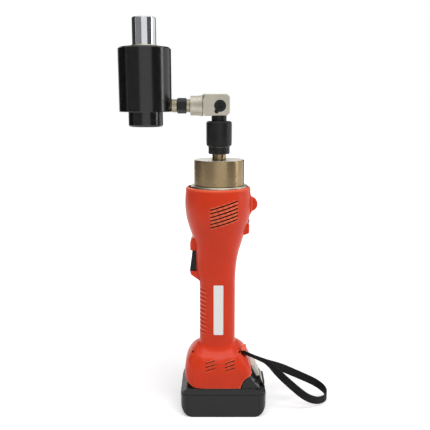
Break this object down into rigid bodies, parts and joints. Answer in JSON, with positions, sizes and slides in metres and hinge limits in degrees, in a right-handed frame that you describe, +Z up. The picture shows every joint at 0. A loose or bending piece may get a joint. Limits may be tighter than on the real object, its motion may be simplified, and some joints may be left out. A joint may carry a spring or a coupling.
{
  "type": "cordless hydraulic hole punch",
  "caption": "Upright battery pump handle with a trigger, quick coupler and swivel elbow that carries a pull-in hydraulic ram for drawing hole punches through sheet metal.",
  "frame": {"origin": "on the pump axis, at the flat bottom of the battery", "axes": "+Z up along the handle, +X towards the battery latch, -X towards the trigger and the ram, -Y the near side with the plate"},
  "size_m": [0.2691, 0.0832, 0.4974],
  "materials": {
    "shell_orange": "moulded semi-matte orange red",
    "label_white": "plain white plate",
    "black_plastic": "moulded black",
    "battery_charcoal": "textured charcoal",
    "latch_grey": "light grey moulded",
    "lamp_grey": "clear grey lamp",
    "plated_collar": "turned and plated, tan",
    "bright_steel": "turned bright",
    "black_oxide": "black oxide",
    "zinc_yellow": "yellow zinc",
    "satin_nickel": "satin nickel plated",
    "anodised_black": "gloss black",
    "rod_chrome": "hard chrome",
    "gear_steel": "hardened steel",
    "pump_alloy": "machined alloy",
    "copper_alloy": "tinned copper alloy",
    "seal_rubber": "black rubber",
    "board_green": "printed board",
    "cell_can": "sleeved cell cans",
    "strap_webbing": "woven black webbing"
  },
  "bodies": {
    "tool_body": {"near_shell": "shell_orange", "far_shell": "shell_orange", "shell_screws": "bright_steel", "label_plate": "label_white", "switch_module": "black_plastic", "status_led": "lamp_grey", "pump_block": "pump_alloy", "pump_plunger": "gear_steel", "plunger_plug": "gear_steel", "flange_ring": "bright_steel", "pump_collar": "plated_collar", "pressure_tube": "gear_steel", "reservoir_bladder": "seal_rubber", "ring_gear": "gear_steel", "motor_can": "gear_steel", "motor_endbell": "black_plastic", "coupler_nipple": "zinc_yellow", "coupler_body": "black_oxide", "coupler_balls": "rod_chrome", "snap_ring": "gear_steel", "sleeve_spring": "gear_steel", "terminal_block": "black_plastic", "terminal_blades": "copper_alloy", "control_board": "board_green", "wrist_strap": "strap_webbing"},
    "trigger": {"trigger": "black_plastic"},
    "release_button": {"release_button": "shell_orange", "release_pin": "gear_steel"},
    "rotor": {"motor_rotor": "gear_steel", "sun_gear": "gear_steel"},
    "carrier": {"planet_carrier": "gear_steel", "eccentric_bearing": "gear_steel"},
    "planet_1": {"planet_gear_1": "gear_steel"},
    "planet_2": {"planet_gear_2": "gear_steel"},
    "planet_3": {"planet_gear_3": "gear_steel"},
    "coupler_sleeve": {"coupler_sleeve": "black_oxide"},
    "swivel_head": {"coupler_tip": "black_oxide", "elbow_block": "satin_nickel", "elbow_plug": "black_oxide", "lock_screw": "satin_nickel"},
    "cylinder_head": {"swivel_stub": "satin_nickel", "swivel_seal": "seal_rubber", "stub_adapter": "zinc_yellow", "union_nut": "black_oxide", "port_adapter": "zinc_yellow", "cylinder_barrel": "anodised_black", "cylinder_cap": "anodised_black", "rod_wiper": "bright_steel", "return_spring": "gear_steel"},
    "ram": {"piston_rod": "rod_chrome", "piston_seal": "seal_rubber"},
    "battery": {"battery_case": "battery_charcoal", "battery_cover": "battery_charcoal", "battery_cells": "cell_can", "cell_holder": "black_plastic", "battery_terminals": "copper_alloy", "latch_spring": "gear_steel"},
    "battery_latch": {"battery_latch": "latch_grey"}
  },
  "joints": [
    {"name": "trigger_pull", "type": "slide", "parent": "tool_body", "child": "trigger", "axis": [1, 0, 0], "range_m": [0, 0.0045], "stiffness_N_per_m": 900},
    {"name": "release_press", "type": "slide", "parent": "tool_body", "child": "release_button", "axis": [-1, 0, 0], "range_m": [0, 0.0035], "stiffness_N_per_m": 1500},
    {"name": "motor_spin", "type": "hinge", "parent": "tool_body", "child": "rotor", "pos_m": [0, 0, 0.22], "axis": [0, 0, 1], "continuous": true},
    {"name": "carrier_spin", "type": "hinge", "parent": "tool_body", "child": "carrier", "pos_m": [0, 0, 0.26], "axis": [0, 0, 1], "continuous": true},
    {"name": "planet_1_spin", "type": "hinge", "parent": "carrier", "child": "planet_1", "pos_m": [0.0105, 0, 0.25], "axis": [0, 0, 1], "continuous": true},
    {"name": "planet_2_spin", "type": "hinge", "parent": "carrier", "child": "planet_2", "pos_m": [-0.00525, 0.00909, 0.25], "axis": [0, 0, 1], "continuous": true},
    {"name": "planet_3_spin", "type": "hinge", "parent": "carrier", "child": "planet_3", "pos_m": [-0.00525, -0.00909, 0.25], "axis": [0, 0, 1], "continuous": true},
    {"name": "sleeve_pull", "type": "slide", "parent": "tool_body", "child": "coupler_sleeve", "axis": [0, 0, -1], "range_m": [0, 0.005], "stiffness_N_per_m": 1500, "springref_m": -0.004, "deforming": ["sleeve_spring"]},
    {"name": "head_swivel", "type": "hinge", "parent": "tool_body", "child": "swivel_head", "pos_m": [0, 0, 0.37], "axis": [0, 0, 1], "continuous": true},
    {"name": "cylinder_swivel", "type": "hinge", "parent": "swivel_head", "child": "cylinder_head", "pos_m": [-0.02, 0, 0.3939], "axis": [1, 0, 0], "continuous": true},
    {"name": "ram_slide", "type": "slide", "parent": "cylinder_head", "child": "ram", "axis": [0, 0, -1], "range_m": [0, 0.022], "stiffness_N_per_m": 3000, "springref_m": -0.01, "deforming": ["return_spring"]},
    {"name": "battery_slide", "type": "slide", "parent": "tool_body", "child": "battery", "axis": [1, 0, 0], "range_m": [0, 0.095], "deforming": ["wrist_strap"]},
    {"name": "latch_press", "type": "slide", "parent": "battery", "child": "battery_latch", "axis": [0, 0, -1], "range_m": [0, 0.004], "stiffness_N_per_m": 900, "springref_m": -0.002, "deforming": ["latch_spring"]}
  ],
  "couplings": [
    {"joint": "carrier_spin", "follows": "motor_spin", "ratio": 0.2},
    {"joint": "planet_1_spin", "follows": "motor_spin", "ratio": -0.53333},
    {"joint": "planet_2_spin", "follows": "motor_spin", "ratio": -0.53333},
    {"joint": "planet_3_spin", "follows": "motor_spin", "ratio": -0.53333}
  ]
}
